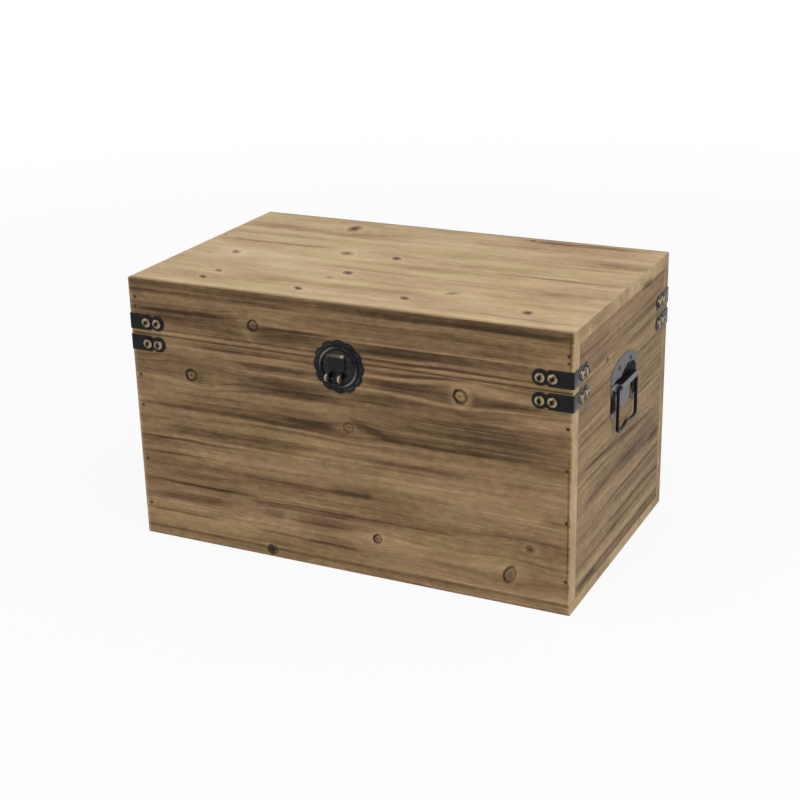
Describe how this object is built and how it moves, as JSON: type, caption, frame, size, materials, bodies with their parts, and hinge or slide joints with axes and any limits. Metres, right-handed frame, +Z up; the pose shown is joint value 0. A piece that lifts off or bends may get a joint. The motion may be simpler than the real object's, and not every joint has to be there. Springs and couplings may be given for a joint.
{
  "type": "wooden storage chest",
  "caption": "Wooden plank chest with a lid hinged at the back, iron corner straps, a round scalloped hasp latch and a hanging bail handle on each end.",
  "frame": {"origin": "centre of the underside of the bottom panel, on the surface that the chest stands on", "axes": "+X along the long side to the right of someone facing the latch, -Y out of the front with the latch, +Z up"},
  "size_m": [0.5178, 0.3227, 0.297],
  "materials": {
    "burnt_pine": "brown burnt and brushed pine with dark grain lines, satin",
    "pale_pine": "lighter sanded pine with brown knots, satin",
    "black_iron": "thin black lacquer on pressed steel, semi-gloss",
    "grey_iron": "dark grey lacquer on pressed steel, worn to a dull sheen",
    "antique_brass": "antiqued brass plate, dark in the hollows and worn bright on the crowns",
    "worn_steel": "plated steel with a dull warm shine"
  },
  "bodies": {
    "chest": {"body_front": "burnt_pine", "body_back": "burnt_pine", "body_left": "burnt_pine", "body_right": "burnt_pine", "body_bottom": "burnt_pine", "strap_body_front_left": "black_iron", "strap_body_front_right": "black_iron", "strap_body_back_left": "black_iron", "strap_body_back_right": "black_iron", "latch_plate_lower": "black_iron", "latch_nail_lower_left": "antique_brass", "latch_nail_lower_right": "antique_brass", "staple_left": "worn_steel", "staple_right": "worn_steel", "handle_plate_left": "grey_iron", "handle_plate_right": "grey_iron", "handle_screw_left_front": "black_iron", "handle_screw_left_back": "black_iron", "handle_screw_right_front": "black_iron", "handle_screw_right_back": "black_iron", "hinge_leaf_body_left": "black_iron", "hinge_leaf_body_right": "black_iron", "hinge_pin_left": "worn_steel", "hinge_pin_right": "worn_steel", "hinge_screw_body_left_left": "black_iron", "hinge_screw_body_left_right": "black_iron", "hinge_screw_body_right_left": "black_iron", "hinge_screw_body_right_right": "black_iron"},
    "lid": {"lid_front": "burnt_pine", "lid_back": "burnt_pine", "lid_left": "burnt_pine", "lid_right": "burnt_pine", "lid_top": "pale_pine", "strap_lid_front_left": "black_iron", "strap_lid_front_right": "black_iron", "strap_lid_back_left": "black_iron", "strap_lid_back_right": "black_iron", "latch_plate_upper": "black_iron", "latch_nail_upper_left": "antique_brass", "latch_nail_upper_right": "antique_brass", "hasp_pin": "worn_steel", "hinge_leaf_lid_left": "black_iron", "hinge_leaf_lid_right": "black_iron", "hinge_screw_lid_left_left": "black_iron", "hinge_screw_lid_left_right": "black_iron", "hinge_screw_lid_right_left": "black_iron", "hinge_screw_lid_right_right": "black_iron"},
    "hasp": {"hasp_flap": "black_iron"},
    "bail_left": {"handle_bail_left": "black_iron"},
    "bail_right": {"handle_bail_right": "black_iron"}
  },
  "joints": [
    {"name": "lid_hinge", "type": "hinge", "parent": "chest", "child": "lid", "pos_m": [0, 0.1531, 0.23715], "axis": [-1, 0, 0], "range_deg": [0, 165]},
    {"name": "hasp_hinge", "type": "hinge", "parent": "lid", "child": "hasp", "pos_m": [0, -0.1559, 0.2433], "axis": [-1, 0, 0], "range_deg": [0, 180]},
    {"name": "bail_left_hinge", "type": "hinge", "parent": "chest", "child": "bail_left", "pos_m": [-0.255, 0, 0.2005], "axis": [0, 1, 0], "range_deg": [0, 180]},
    {"name": "bail_right_hinge", "type": "hinge", "parent": "chest", "child": "bail_right", "pos_m": [0.255, 0, 0.2005], "axis": [0, -1, 0], "range_deg": [0, 180]}
  ]
}
